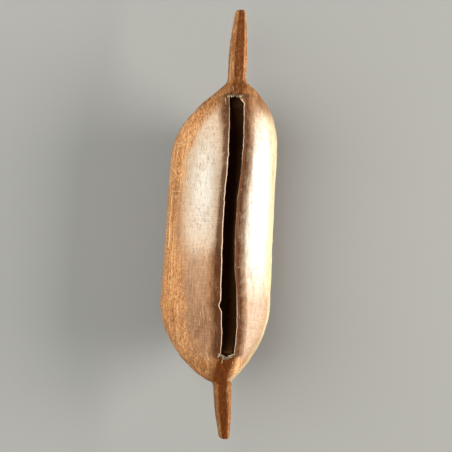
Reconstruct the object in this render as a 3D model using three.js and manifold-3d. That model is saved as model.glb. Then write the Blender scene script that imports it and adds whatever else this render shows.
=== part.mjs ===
// Slit drum, carved from one block of wood: a pod-shaped hollow body with a long slit along its top, a thin
// raised lip on each side of the slit, and a whittled handle at each end in line with the lips.
// Millimetres. The drum lies on the small flat under its belly: +Z is up, out of the slit, +Y runs towards the
// longer handle, and +X is to the right of someone who looks along +Y.
import * as THREE from "three";
import { mergeVertices } from "three/addons/utils/BufferGeometryUtils.js";
import Module from "manifold-3d";

// Body
const BODY_LENGTH = 485; // between the two shoulders, where the handles start
const BODY_WIDTH = 180; // half way along
const WIDTH_GAIN = 10; // how much wider the body would be at its foot end than at its head end
const CROWN_HEIGHT = 169; // the top of the two lobes beside the slit, above the rest flat
const REST_FLAT_WIDTH = 46;
const HEAD_TAPER = 143; // length over which the sides close in towards the longer handle
const FOOT_TAPER = 125;
const HEAD_KEEL_RISE = 118; // length over which the belly rises towards the longer handle
const FOOT_KEEL_RISE = 140;
const HEAD_OVERLAP = 14; // how far the sides' own meeting point lies inside the handle
const FOOT_OVERLAP = 7;
const CROWN_FALL = 2; // how much lower the crown is at the shoulders than in the middle

// Walls
const SIDE_WALL = 9;
const BELLY_WALL = 12;
const CROWN_WALL = 8;

// Slit and lips
const SLIT_WIDTH = 21;
const HEAD_MARGIN = 22; // from the shoulder to the end of the slit
const FOOT_MARGIN = 45;
const SLIT_END_DEPTH = 30; // depth of the chopped wall at each end of the slit
const SLIT_END_CHAMFER = 8; // the sloping corner at the head end, on the right
const LIP_THICKNESS = 3.2;
const LIP_HEIGHT = 6.5; // above the groove at its foot
const LIP_FOOT = 4; // width of the hollow curve up the outside of the lip
const GROOVE_DEPTH = 3; // of the groove at the foot of the lip, below the crown
const GROOVE_WIDTH = 13;
const LIP_RUN_OUT = 26; // length over which a lip dies away past the slit

// Handles
const HANDLE_WIDTH = 29;
const HANDLE_THICKNESS = 25;
const HEAD_HANDLE_LENGTH = 121;
const FOOT_HANDLE_LENGTH = 94;
const HEAD_HANDLE_SHIFT = 1.8; // to the right of the drum's long axis
const FOOT_HANDLE_SHIFT = 1.5;
const FOOT_HANDLE_LEAN = 7.5; // how much further to the right its tip is
const SHOULDER_ROUNDING = 4;

// Roundness of the cross-sections: 2 is an ellipse, more is squarer
const CROWN_POWER = 2.25;
const BELLY_POWER = 2;
const HANDLE_POWER = 2.7;

// How far the body's middle lies to the right, as [share of the body's length from its foot end, millimetres]
const BODY_SWAY = [[0, -4], [0.13, -2], [0.3, 0], [0.5, 0], [0.74, 2.2], [0.9, 6.5], [1, 4.5]];
// Free-hand curves, as [share of the slit's length from its foot end, millimetres to the right]
const SLIT_WANDER = [[0, 5.4], [0.16, 4], [0.35, -0.6], [0.52, -3.1], [0.7, -0.4], [0.85, 1.1], [1, -0.8]];
// and as [share of the slit's length, share of the slit's width]
const SLIT_OPENING = [[0, 0.95], [0.14, 1.24], [0.24, 1.22], [0.36, 0.97], [0.55, 0.94], [0.8, 1.1], [1, 1.05]];
// A nick in the left lip: where it is along the slit, how far it bites and how long it is
const NICK_PLACE = 0.185;
const NICK_BITE = 3.2;
const NICK_LENGTH = 20;
// Handle outlines, as [share of the handle's length from the shoulder, share of its width]
const HEAD_HANDLE_OUTLINE = [[0, 0.95], [0.28, 1], [0.48, 0.97], [0.7, 0.82], [0.86, 0.66], [1, 0.48]];
const FOOT_HANDLE_OUTLINE = [[0, 1], [0.3, 0.91], [0.55, 0.85], [0.78, 0.69], [1, 0.5]];
const TIP_ROUNDING = 5; // length of the rounded end of each handle

// Mesh fineness
const CAVITY_POINTS = 28;
const FLANK_STEPS = 16; // from the groove down to the middle of the belly, on each side
const BODY_STEP = 14;
const END_STEP = 9;
const HANDLE_STEP = 15;
const SHOULDER_STEP = 4;
const SHOULDER_REACH = 12; // how far that finer step goes on either side of a shoulder

const headShoulder = BODY_LENGTH / 2;
const footShoulder = -BODY_LENGTH / 2;
const headTip = headShoulder + HEAD_HANDLE_LENGTH;
const footTip = footShoulder - FOOT_HANDLE_LENGTH;
const slitHead = headShoulder - HEAD_MARGIN;
const slitFoot = footShoulder + FOOT_MARGIN;
const slitLength = slitHead - slitFoot;

// The belly is an ellipse whose lowest part is cut off flat, REST_FLAT_WIDTH wide, at z = 0.
const flatShare = 1 - Math.sqrt(1 - (REST_FLAT_WIDTH / BODY_WIDTH) ** 2);
const halfDepth = CROWN_HEIGHT / (2 - flatShare);

function smoothStep(x) {
  const t = Math.min(1, Math.max(0, x));
  return t * t * (3 - 2 * t);
}

// The larger of two sizes, with the corner between them rounded
function roundedMax(a, b, rounding) {
  return (a + b + Math.hypot(a - b, rounding)) / 2;
}

// A smooth curve through [place, value] points, with the ends held
function curveAt(points, place) {
  const last = points.length - 1;
  if (place <= points[0][0]) return points[0][1];
  if (place >= points[last][0]) return points[last][1];
  const i = points.findIndex((p) => p[0] > place) - 1;
  const slope = (k) => {
    const before = points[Math.max(0, k - 1)];
    const after = points[Math.min(last, k + 1)];
    return (after[1] - before[1]) / (after[0] - before[0]);
  };
  const [x0, y0] = points[i];
  const [x1, y1] = points[i + 1];
  const span = x1 - x0;
  const t = (place - x0) / span;
  return (
    y0 * (1 + 2 * t) * (1 - t) ** 2 +
    y1 * t * t * (3 - 2 * t) +
    span * t * (1 - t) * (slope(i) * (1 - t) - slope(i + 1) * t)
  );
}

// The two ends' own points, [head, foot], of the outside and of the hollow
const outerPoints = [headShoulder + HEAD_OVERLAP, footShoulder - FOOT_OVERLAP];
const hollowPoints = [slitHead, slitFoot];

// How full the body is at y, from 0 at its points to 1 along its straight middle. An end closes in over its
// length as (1 - x ** along) ** (1 / across), where x goes from 0 where it starts to 1 at its point.
function fullness(y, points, ends) {
  const xs = ends.map(({ length }, end) => {
    const reach = length - Math.abs(outerPoints[end] - points[end]);
    return 1 - Math.abs(points[end] - y) / reach;
  });
  const end = y > 0 ? 0 : 1;
  const past = end === 0 ? y > points[0] : y < points[1];
  if (past) return 0;
  return (1 - Math.max(0, xs[end]) ** ends[end].along) ** (1 / ends[end].across);
}

const PLAN = [
  { length: HEAD_TAPER, along: 2.5, across: 1 },
  { length: FOOT_TAPER, along: 1.66, across: 1.56 },
];
const KEEL = [
  { length: HEAD_KEEL_RISE, along: 1.8, across: 0.62 },
  { length: FOOT_KEEL_RISE, along: 2, across: 1.4 },
];

// Half of the width that the body has at y where it isn't closing in
function fullHalfWidth(y) {
  return (BODY_WIDTH - (WIDTH_GAIN * y) / BODY_LENGTH) / 2;
}

function swayAt(y) {
  return curveAt(BODY_SWAY, (y - footShoulder) / BODY_LENGTH);
}

// Height of the crown line at y: level in the middle, a little lower at the shoulders and handles
function crownAt(y) {
  const headFall = smoothStep((y - (headShoulder - HEAD_TAPER)) / HEAD_TAPER);
  const footFall = smoothStep((footShoulder + FOOT_TAPER - y) / FOOT_TAPER);
  return CROWN_HEIGHT - CROWN_FALL * Math.max(headFall, footFall);
}

// How far along its handle y is, from 0 at the shoulder to 1 at the tip; negative on the body
function alongHandle(y) {
  return y > 0 ? (y - headShoulder) / HEAD_HANDLE_LENGTH : (footShoulder - y) / FOOT_HANDLE_LENGTH;
}

// Handle at y, as a share of its full width
function handleShare(y) {
  const outline = y > 0 ? HEAD_HANDLE_OUTLINE : FOOT_HANDLE_OUTLINE;
  const toTip = Math.min(headTip - y, y - footTip) / TIP_ROUNDING;
  const rounding = toTip < 1 ? Math.sqrt(Math.max(0, 1 - (1 - toTip) ** 2)) : 1;
  return curveAt(outline, alongHandle(y)) * (0.5 + 0.5 * rounding);
}

function handleShift(y) {
  return y > 0 ? HEAD_HANDLE_SHIFT : FOOT_HANDLE_SHIFT + FOOT_HANDLE_LEAN * Math.max(0, alongHandle(y));
}

// Where the slit's left (side -1) or right (side 1) edge is at y
function slitEdge(side, y) {
  const share = (y - slitFoot) / slitLength;
  const half = (SLIT_WIDTH / 2) * curveAt(SLIT_OPENING, share);
  const away = Math.abs(y - (slitFoot + NICK_PLACE * slitLength)) / (NICK_LENGTH / 2);
  const nick = side < 0 ? NICK_BITE * Math.max(0, 1 - away) : 0;
  return curveAt(SLIT_WANDER, share) + side * (half + nick);
}

// How much of the lips and grooves there is at y: all of it along the slit, none on the handles
function lipShare(y) {
  const past = Math.max(y - slitHead, slitFoot - y);
  return 1 - smoothStep(past / LIP_RUN_OUT);
}

// One cross-section of the outside at y: down the right side from the slit and up the left side to it
function outerSection(y) {
  const handle = handleShare(y);
  const bodyHalfWidth = fullHalfWidth(y) * fullness(y, outerPoints, PLAN);
  const bodyHalfDepth = halfDepth * fullness(y, outerPoints, KEEL);
  const a = roundedMax(bodyHalfWidth, (HANDLE_WIDTH / 2) * handle, SHOULDER_ROUNDING);
  const b = roundedMax(bodyHalfDepth, (HANDLE_THICKNESS / 2) * (0.35 + 0.65 * handle), SHOULDER_ROUNDING);
  const body = smoothStep((bodyHalfWidth - HANDLE_WIDTH / 3) / (HANDLE_WIDTH / 2));
  const shift = body * swayAt(y) + (1 - body) * handleShift(y);
  const crownPower = HANDLE_POWER + (CROWN_POWER - HANDLE_POWER) * body;
  const bellyPower = HANDLE_POWER + (BELLY_POWER - HANDLE_POWER) * body;
  const middle = crownAt(y) - b;
  const lips = lipShare(y);

  const shellTop = (x) => middle + b * (1 - Math.min(1, Math.abs(x / a)) ** crownPower) ** (1 / crownPower);
  const foot = LIP_THICKNESS + LIP_FOOT;
  const side = (sign) => {
    const edge = slitEdge(sign, Math.min(slitHead, Math.max(slitFoot, y))) * sign - shift * sign * lips;
    const lipReach = edge + foot;
    const squeeze = Math.min(1, (0.75 * a) / (lipReach + GROOVE_WIDTH / 4));
    const groove = Math.max(0.1 * a, Math.min(GROOVE_WIDTH, 0.85 * a - lipReach * squeeze));
    const reach = lipReach * squeeze + groove;
    // Places across the lip and the groove outside it, with the rise of each over the shell
    const relief = [
      [(edge - SLIT_WIDTH / 8) * squeeze, LIP_HEIGHT - GROOVE_DEPTH],
      [(edge + LIP_THICKNESS) * squeeze, LIP_HEIGHT - GROOVE_DEPTH],
      [(edge + LIP_THICKNESS + LIP_FOOT / 3) * squeeze, LIP_HEIGHT / 3 - GROOVE_DEPTH],
      [lipReach * squeeze, -GROOVE_DEPTH],
      [lipReach * squeeze + groove / 3, -GROOVE_DEPTH * 0.8],
      [lipReach * squeeze + (groove * 2) / 3, -GROOVE_DEPTH * 0.25],
      [reach, 0],
    ];
    const points = relief.map(([x, rise]) => [sign * x, shellTop(x) + rise * lips]);
    const start = Math.acos((reach / a) ** (crownPower / 2));
    for (let i = 1; i <= FLANK_STEPS; i++) {
      const angle = start - ((start + Math.PI / 2) * i) / FLANK_STEPS;
      const power = angle > 0 ? crownPower : bellyPower;
      const x = a * Math.max(0, Math.cos(angle)) ** (2 / power);
      const z = b * Math.sign(angle) * Math.abs(Math.sin(angle)) ** (2 / power);
      points.push([sign * x, middle + z]);
    }
    return points;
  };
  const right = side(1);
  const left = side(-1).slice(0, -1); // the middle of the belly is in both halves
  return [...right, ...left.reverse()].map(([x, z]) => new THREE.Vector3(x + shift, y, z));
}

// One cross-section of the hollow at y
function hollowSection(y) {
  const a = Math.max(1, (fullHalfWidth(y) - SIDE_WALL) * fullness(y, hollowPoints, PLAN));
  const fullDepth = halfDepth - (CROWN_WALL + BELLY_WALL) / 2;
  const b = Math.max(1, fullDepth * fullness(y, hollowPoints, KEEL));
  const middle = crownAt(y) - CROWN_WALL - b;
  return Array.from({ length: CAVITY_POINTS }, (_, i) => {
    const angle = Math.PI / 2 - (i * 2 * Math.PI) / CAVITY_POINTS;
    return new THREE.Vector3(swayAt(y) + a * Math.cos(angle), y, middle + b * Math.sin(angle));
  });
}

// One cross-section of the slit: its two edges, from above the lips down into the hollow
function slitSection(y) {
  const intoHead = Math.max(0, SLIT_END_CHAMFER - (slitHead - y));
  const left = slitEdge(-1, y);
  const right = slitEdge(1, y) - intoHead;
  const top = CROWN_HEIGHT + LIP_HEIGHT + LIP_THICKNESS;
  const bottom = crownAt(y) + LIP_HEIGHT - SLIT_END_DEPTH - LIP_THICKNESS;
  return [[left, bottom], [left, top], [right, top], [right, bottom]].map(([x, z]) => new THREE.Vector3(x, y, z));
}

// Closed skin over cross-sections that follow one another towards +Y, each clockwise seen from the foot end
function loft(sections) {
  const around = sections[0].length;
  const positions = sections.flat().flatMap((p) => [p.x, p.y, p.z]);
  const index = [];
  const quad = (a, b, c, d) => index.push(a, b, c, a, c, d);
  for (let s = 0; s + 1 < sections.length; s++) {
    for (let i = 0; i < around; i++) {
      const j = (i + 1) % around;
      quad(s * around + i, s * around + j, (s + 1) * around + j, (s + 1) * around + i);
    }
  }
  for (const [end, turned] of [[0, true], [sections.length - 1, false]]) {
    const middle = sections[end].reduce((sum, p) => sum.add(p), new THREE.Vector3()).divideScalar(around);
    const hub = positions.length / 3;
    positions.push(middle.x, middle.y, middle.z);
    for (let i = 0; i < around; i++) {
      const pair = [end * around + i, end * around + ((i + 1) % around)];
      index.push(hub, ...(turned ? pair.reverse() : pair));
    }
  }
  const geometry = new THREE.BufferGeometry();
  geometry.setAttribute("position", new THREE.Float32BufferAttribute(positions, 3));
  geometry.setIndex(index);
  return geometry;
}

// Places from start to end, both included, at most step apart
function places(start, end, step) {
  const count = Math.max(1, Math.ceil(Math.abs(end - start) / step));
  return Array.from({ length: count + 1 }, (_, i) => start + ((end - start) * i) / count);
}

const joined = (...runs) => [...new Set(runs.flat().map((y) => Math.round(y * 1e3) / 1e3))].sort((p, q) => p - q);

const nickMiddle = slitFoot + NICK_PLACE * slitLength;
const nickPlaces = places(nickMiddle - NICK_LENGTH / 2, nickMiddle + NICK_LENGTH / 2, NICK_LENGTH / 2);
const footBend = footShoulder + FOOT_TAPER;
const headBend = headShoulder - HEAD_TAPER;

function outerPlaces() {
  const tipPlaces = places(0, TIP_ROUNDING, TIP_ROUNDING / 3);
  return joined(
    tipPlaces.map((d) => footTip + d),
    places(footTip + TIP_ROUNDING, footShoulder - SHOULDER_REACH, HANDLE_STEP),
    places(footShoulder - SHOULDER_REACH, footShoulder + SHOULDER_REACH, SHOULDER_STEP),
    places(footShoulder + SHOULDER_REACH, footBend, END_STEP),
    places(footBend, headBend, BODY_STEP),
    places(headBend, headShoulder - SHOULDER_REACH, END_STEP),
    places(headShoulder - SHOULDER_REACH, headShoulder + SHOULDER_REACH, SHOULDER_STEP),
    places(headShoulder + SHOULDER_REACH, headTip - TIP_ROUNDING, HANDLE_STEP),
    tipPlaces.map((d) => headTip - d),
  );
}

function hollowPlaces() {
  const [head, foot] = hollowPoints;
  return joined(
    places(foot, foot + END_STEP, END_STEP / 3),
    places(foot + END_STEP, footBend, END_STEP * 1.5),
    places(footBend, headBend, BODY_STEP * 2),
    places(headBend, head, END_STEP * 1.5),
  );
}

function slitPlaces() {
  return joined(
    places(slitFoot, slitHead - SLIT_END_CHAMFER, BODY_STEP * 1.5),
    nickPlaces,
    [slitHead],
  );
}

const wasm = await Module();
wasm.setup();

function toSolid(geometry) {
  geometry.deleteAttribute("normal");
  geometry.deleteAttribute("uv");
  const merged = mergeVertices(geometry, 1e-4);
  return new wasm.Manifold(
    new wasm.Mesh({
      numProp: 3,
      vertProperties: merged.attributes.position.array,
      triVerts: new Uint32Array(merged.index.array),
    }),
  );
}

function toGeometry(solid) {
  const mesh = solid.getMesh();
  const positions = new Float32Array(mesh.numVert * 3);
  for (let i = 0; i < mesh.numVert; i++) {
    positions.set(mesh.vertProperties.subarray(i * mesh.numProp, i * mesh.numProp + 3), i * 3);
  }
  const geometry = new THREE.BufferGeometry();
  geometry.setAttribute("position", new THREE.BufferAttribute(positions, 3));
  geometry.setIndex(new THREE.BufferAttribute(mesh.triVerts, 1));
  return geometry;
}

// A block under the rest plane, which cuts the belly flat
function underRest() {
  const block = new THREE.BoxGeometry(BODY_WIDTH, BODY_LENGTH, CROWN_HEIGHT);
  return block.translate(0, 0, -CROWN_HEIGHT / 2);
}

function carveDrum() {
  return toSolid(loft(outerPlaces().map(outerSection)))
    .subtract(toSolid(underRest()))
    .subtract(toSolid(loft(hollowPlaces().map(hollowSection))))
    .subtract(toSolid(loft(slitPlaces().map(slitSection))));
}

const wood = new THREE.MeshStandardMaterial({ color: 0xb07a4c, roughness: 0.45, metalness: 0 });
const drum = new THREE.Mesh(toGeometry(carveDrum()), wood);
drum.name = "slit_drum";

// The origin is under the middle of the drum, on the surface that it lies on.
drum.geometry.computeBoundingBox();
const middle = drum.geometry.boundingBox.getCenter(new THREE.Vector3());
drum.position.set(-middle.x, -middle.y, -drum.geometry.boundingBox.min.z);

const root = new THREE.Group();
root.add(drum);

export default root;
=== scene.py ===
"""Slit drum carved from one block of wood, lying on its belly on a pale floor, slit up, seen from above.

The frame is in metres: +Z is up out of the slit, +Y runs towards the longer handle, called the head end
here, and +X is to the right. The other end is the foot end. The drum is one closed mesh: an outer skin, the
hollow's skin, and the rim that joins them all round the slit.
"""

import math

import bpy
import numpy as np
from bpy.props import FloatProperty, FloatVectorProperty, PointerProperty
from bpy.types import Operator, Panel, PropertyGroup
from mathutils import Matrix, Vector


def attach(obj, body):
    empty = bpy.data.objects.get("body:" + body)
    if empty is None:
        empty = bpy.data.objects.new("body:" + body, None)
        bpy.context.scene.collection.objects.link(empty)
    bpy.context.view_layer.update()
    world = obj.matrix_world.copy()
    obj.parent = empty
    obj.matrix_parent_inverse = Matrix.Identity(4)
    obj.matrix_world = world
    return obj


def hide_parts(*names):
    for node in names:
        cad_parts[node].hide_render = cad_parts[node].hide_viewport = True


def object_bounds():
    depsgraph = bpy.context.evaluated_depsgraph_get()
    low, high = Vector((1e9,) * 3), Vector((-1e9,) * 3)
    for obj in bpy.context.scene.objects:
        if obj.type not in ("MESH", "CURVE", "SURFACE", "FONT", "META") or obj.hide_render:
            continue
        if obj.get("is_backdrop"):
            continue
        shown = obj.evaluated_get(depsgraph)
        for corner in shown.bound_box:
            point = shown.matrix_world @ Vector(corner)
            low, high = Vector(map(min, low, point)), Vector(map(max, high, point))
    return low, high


bl_info = {
    "name": "Slit drum",
    "version": (1, 0, 0),
    "blender": (4, 5, 0),
    "location": "View3D > Sidebar > Slit drum",
    "description": "Carves a two-handled slit drum and sets it on a pale floor",
    "category": "Add Mesh",
}

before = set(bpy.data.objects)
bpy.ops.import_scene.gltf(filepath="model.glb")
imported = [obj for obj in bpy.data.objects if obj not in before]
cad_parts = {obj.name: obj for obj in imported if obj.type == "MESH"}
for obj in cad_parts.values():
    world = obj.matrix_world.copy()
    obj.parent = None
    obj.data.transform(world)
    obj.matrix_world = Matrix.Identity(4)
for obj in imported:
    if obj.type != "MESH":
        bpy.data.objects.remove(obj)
NODE = "slit_drum"
CAD_LOW, CAD_HIGH = (np.array(corner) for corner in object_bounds())
CAD_SIZE = CAD_HIGH - CAD_LOW
MM = 0.001

# Mesh fineness: rows run along the drum and columns go round it
BODY_ROW = 2.2 * MM
END_ROW = 0.7 * MM
HANDLE_ROW = 2 * MM
ACROSS_SLIT = 14
LIP_COLUMNS = 5
FOOT_COLUMNS = 5
GROOVE_COLUMNS = 8
FLANK_COLUMNS = 64
HOLLOW_COLUMNS = 20
RIM_LOOPS = 9

# Curves through given points, (share of the body's length from its foot end, metres to the right)
BODY_SWAY = [
    (0, -4 * MM), (0.13, -2 * MM), (0.3, 0), (0.5, 0), (0.74, 2.2 * MM), (0.9, 6.5 * MM), (1, 4.5 * MM),
]
# (share of the slit's length from its foot end, metres to the right)
SLIT_WANDER = [
    (0, 4.8 * MM), (0.06, 5.8 * MM), (0.11, 5.2 * MM), (0.2, 3 * MM), (0.3, -0.3 * MM), (0.42, -2.7 * MM),
    (0.52, -2.9 * MM), (0.62, -2 * MM), (0.72, 0.8 * MM), (0.83, 1.7 * MM), (0.9, 1.4 * MM), (1, -0.8 * MM),
]
# (share of the slit's length, share of its width)
SLIT_OPENING = [
    (0, 1.03), (0.06, 1.14), (0.11, 1.2), (0.24, 1.24), (0.33, 1.02), (0.5, 0.98), (0.62, 1.02), (0.8, 1.13),
    (1, 1.1),
]
# (share of the handle's length from the shoulder, share of its width)
HEAD_HANDLE_OUTLINE = [(0, 0.95), (0.28, 1), (0.48, 0.97), (0.7, 0.82), (0.86, 0.66), (1, 0.48)]
FOOT_HANDLE_OUTLINE = [(0, 1), (0.3, 0.91), (0.55, 0.85), (0.78, 0.69), (1, 0.5)]
# Width of the rough border inside the drum's outline, (metres along from the middle, metres)
BORDER = [
    (-0.206, 22 * MM), (-0.17, 23 * MM), (-0.124, 26 * MM), (-0.06, 16 * MM),
    (0, 11 * MM), (0.06, 11 * MM), (0.14, 18 * MM), (0.19, 23 * MM),
]
# How wide the groove beside the left lip is, and where under 1 how deep,
# (metres along from the middle, share)
LEFT_GROOVE = [(-0.15, 1.25), (-0.06, 1.1), (0, 0.75), (0.05, 0.5), (0.12, 0.5), (0.18, 0.8)]
# How polished the lobes are, (metres along from the middle, share)
LEFT_SHEEN = [
    (-0.2, 0.01), (-0.12, 0.02), (-0.08, 0.04), (-0.045, 0.09), (0, 0.36),
    (0.05, 0.55), (0.11, 0.56), (0.16, 0.34), (0.2, 0.2), (0.215, 0.08),
]
RIGHT_SHEEN = [
    (-0.2, 0.17), (-0.16, 0.19), (-0.11, 0.2), (-0.06, 0.55), (0.04, 1),
    (0.12, 0.85), (0.16, 0.5), (0.2, 0.12), (0.215, 0.06),
]
# How much painted light lies down the right side, for the strong light there, (metres along from the middle,
# share)
RIGHT_PAINTED_LIGHT = [
    (-0.2, 0.5), (-0.15, 0.65), (-0.1, 0.8), (-0.05, 0.95),
    (0.12, 0.9), (0.17, 0.6), (0.2, 0.35), (0.215, 0.15),
]
# How far the dirt and painted shade beside the left lip reach, (metres along from the middle, metres out from
# the slit)
LEFT_GRIME_AND_SHADE = [
    (-0.2, 16 * MM), (-0.05, 14 * MM), (0.01, 13 * MM), (0.06, 13 * MM),
    (0.1, 13 * MM), (0.15, 13 * MM), (0.2, 14 * MM),
]
# How pale the lips' tops are, from wear and partly painted highlight, (metres along from the middle, share)
LEFT_LIP = [(-0.2, 0.5), (-0.12, 0.75), (-0.05, 1), (0.03, 0.9), (0.1, 0.8), (0.17, 0.45), (0.215, 0.4)]
RIGHT_LIP = [(-0.2, 0.7), (-0.11, 0.65), (-0.07, 0.2), (0.09, 0.2), (0.13, 0.6), (0.215, 0.75)]
FINISHES = ("lip", "groove", "raw", "inside", "handle", "polish", "sheen", "shade_and_darkening", "painted_light", "worn_and_highlit", "wall")
NICK_PLACE = 0.187
NICK_BITE = 3.4 * MM
NICK_LENGTH = 22 * MM
BURR_PLACE = 0.774
BURR_HEIGHT = 1.1 * MM
BURR_LENGTH = 3 * MM
CORNER_SLOPE = 8.5 * MM  # the sloping corner at the slit's head end, on the right
RIM_ROUNDING = 0.55 * MM
REST_ROUNDING = 0.8 * MM
LIP_ROUNDING = 0.3  # share of the lip's height that its top falls to the outside
RAG_REACH = 9 * MM  # how far from the slit's ends the ragged break pulls at the wood
SPLINTER_HEIGHT = 1.8 * MM
TOP_LEVEL = 100 * MM  # marks are only above this height
BLADE_DEPTH = 1 * MM
RIDGE_HEIGHT = 0.6 * MM  # the low ridge between two rows of adze cuts, down the left side
RIDGE_LEVEL = 104 * MM
RIDGE_SPAN = (-45 * MM, 75 * MM)
# Old scratches and worn strokes seen from above: (width, places along it), all in millimetres
PALE_MARKS = [
    (1.0, [(-36, -127), (-38, -138), (-36, -155)]),
    (0.9, [(-41, -145), (-41, -150)]),
    (0.9, [(-42, -157), (-41, -167)]),
    (1.4, [(-26, -155), (-25, -157)]),
    (1.0, [(-59, -164), (-55, -164)]),
    (1.0, [(-54, -193), (-52, -204), (-47, -208)]),
    (1.5, [(-28, -210), (-24, -222)]),
    (1.4, [(-2, -221), (-2, -226)]),
    (1.4, [(16, -224), (16, -229)]),
    (1.5, [(-6, 224), (-5, 219)]),
    (1.7, [(-11, 215), (-11, 212)]),
    (2.0, [(6, 210), (11, 210)]),
    (2.6, [(10, 205), (13, 197)]),
    (1.5, [(-17, 205), (-16, 195)]),
    (1.1, [(-86, 50), (-78, 50)]),
    (1.6, [(-85, 86), (-82, 77)]),
    (1.4, [(-80, 129), (-75, 131)]),
    (1.5, [(16, 58), (17, 57)]),
    (1.5, [(16, 19), (17, 18)]),
    (1.5, [(17, -69), (18, -70)]),
]
# Dark marks: a crack, dark spots at the slit's head end, and painted shade along the pale cross-stroke on the
# left side and in a dip beside the left lip near the foot end
DARK_MARKS = [
    (1.1, [(-26, -64), (-15, -64)]),
    (1.2, [(-87, 47), (-78, 47)]),
    (2.4, [(2, 221), (3, 220)]),
    (2.4, [(1, 214), (4, 213)]),
    (5.0, [(-12, -184), (-12, -195)]),
]
# The broken foot end of the slit, (share of its width from the left, metres towards the foot)
FOOT_BREAK = [(0, 0), (0.18, 2.2 * MM), (0.4, 5.2 * MM), (0.62, 2 * MM), (0.8, 0.8 * MM), (1, -0.6 * MM)]

# Noise in the wood: (scale along each axis, detail, roughness, warp)
PATTERNS = {
    "broad": ((24, 9, 24), 3, 0.55, 0.6),
    "patches": ((70, 34, 70), 4, 0.6, 0.8),
    "grain": ((170, 7, 170), 4, 0.6, 0.7),
    "streaks": ((520, 42, 520), 4, 0.6, 0.3),
    "hatch": ((60, 480, 60), 3, 0.55, 0.4),
    "pores": ((640, 120, 640), 2, 0.5, 0.0),
    "speckle": ((480, 330, 480), 5, 0.7, 0.2),
    "chop": ((130, 80, 130), 5, 0.62, 2.2),
    "fibres": ((400, 110, 400), 5, 0.68, 0.2),
    "worked": ((105, 70, 105), 3, 0.5, 1.4),
}

CAMERA_DISTANCE = 3.0
CAMERA_TILT = math.radians(13)  # off the vertical, towards the left
CAMERA_ROLL = math.radians(2.8)
FRAME_PIXELS = 452
DRUM_PIXELS = 428.8  # the drum's length in the photograph
DRUM_MIDDLE = (228.9, 224.25)  # the pixel that the middle of the drum's handles falls on
HANDLE_HEIGHT = 0.158
SENSOR = 0.036
CLIP_END = 20

FLOOR_REACH = 4.0
FLOOR_COLOUR = (0.215, 0.212, 0.206, 1)
FLOOR_ROUGHNESS = 0.8
LIGHTS_AIM = (0, 0, 0.08)
# Soft lights: (name, place, size, watts, tint)
LIGHTS = [
    ("key", (3.4, 0.18, 1.5), (2.7, 2.4), 330, (1, 0.97, 0.9)),
    ("strip", (-2.3, 0.2, 2.3), (3.5, 1.9), 190, (0.97, 1, 0.95)),
]
STUDIO_TINT = (1, 0.98, 0.95, 1)
STUDIO_STRENGTH = 0.22


def length(name, description, default):
    """A size property in metres."""
    return FloatProperty(
        name=name, description=description, default=default, unit="LENGTH", subtype="DISTANCE"
    )


def colour(name, description, default):
    """A colour property, linear."""
    return FloatVectorProperty(
        name=name, description=description, default=default, subtype="COLOR", min=0, max=1
    )


class DrumSizes(PropertyGroup):
    """Sizes of the carved form. The finished mesh is fitted to the frame's box."""

    body_length: length("Body length", "Between the two shoulders", 0.485)
    body_width: length("Body width", "Half way along", float(CAD_SIZE[0]))
    width_gain: length("Width gain", "How much wider the foot end would be than the head end", 0.010)
    crown_height: length("Crown height", "Top of the lobes above the floor", 0.169)
    crown_fall: length("Crown fall", "How much lower the crown is at the shoulders", 0.002)
    flat_width: length("Rest flat", "Width of the flat under the belly", 0.046)
    head_taper: length("Head taper", "Length over which the sides close in at the head end", 0.143)
    foot_taper: length("Foot taper", "Length over which the sides close in at the foot end", 0.125)
    head_keel: length("Head keel", "Length over which the belly rises at the head end", 0.118)
    foot_keel: length("Foot keel", "Length over which the belly rises at the foot end", 0.140)
    head_overlap: length("Head overlap", "Depth of the sides' meeting point inside the handle", 0.014)
    foot_overlap: length("Foot overlap", "Depth of the sides' meeting point inside the handle", 0.007)
    side_wall: length("Side wall", "Thickness of the drum's sides", 0.009)
    belly_wall: length("Belly wall", "Thickness of the drum's belly", 0.012)
    crown_wall: length("Crown wall", "Thickness beside the slit", 0.008)
    slit_width: length("Slit width", "Between the lips, on average", 0.021)
    head_margin: length("Head margin", "From the shoulder to the slit's end", 0.022)
    foot_margin: length("Foot margin", "From the shoulder to the slit's end", 0.045)
    slit_end_depth: length("Slit end depth", "Depth of the chopped wall at the slit's ends", 0.030)
    lip_thickness: length("Lip thickness", "Across the top of a lip", 0.0032)
    lip_height: length("Lip height", "Above the groove at its foot", 0.0065)
    lip_foot: length("Lip foot", "Width of the hollow curve up the outside of a lip", 0.004)
    groove_depth: length("Groove depth", "Below the crown", 0.003)
    groove_width: length("Groove width", "From the lip's foot to the lobe's crown", 0.013)
    lip_run_out: length("Lip run-out", "Length over which a lip dies away past the slit", 0.009)
    handle_width: length("Handle width", "At its widest", 0.029)
    handle_thickness: length("Handle thickness", "At the shoulder", 0.025)
    head_handle: length("Head handle", "Length of the longer handle", 0.121)
    foot_handle: length("Foot handle", "Length of the shorter handle", 0.094)
    head_shift: length("Head handle shift", "To the right of the long axis", 0.0018)
    foot_shift: length("Foot handle shift", "To the right of the long axis", 0.0015)
    foot_lean: length("Foot handle lean", "How much further right its tip is", 0.0075)
    tip_rounding: length("Tip rounding", "Length of a handle's rounded end", 0.005)


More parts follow.
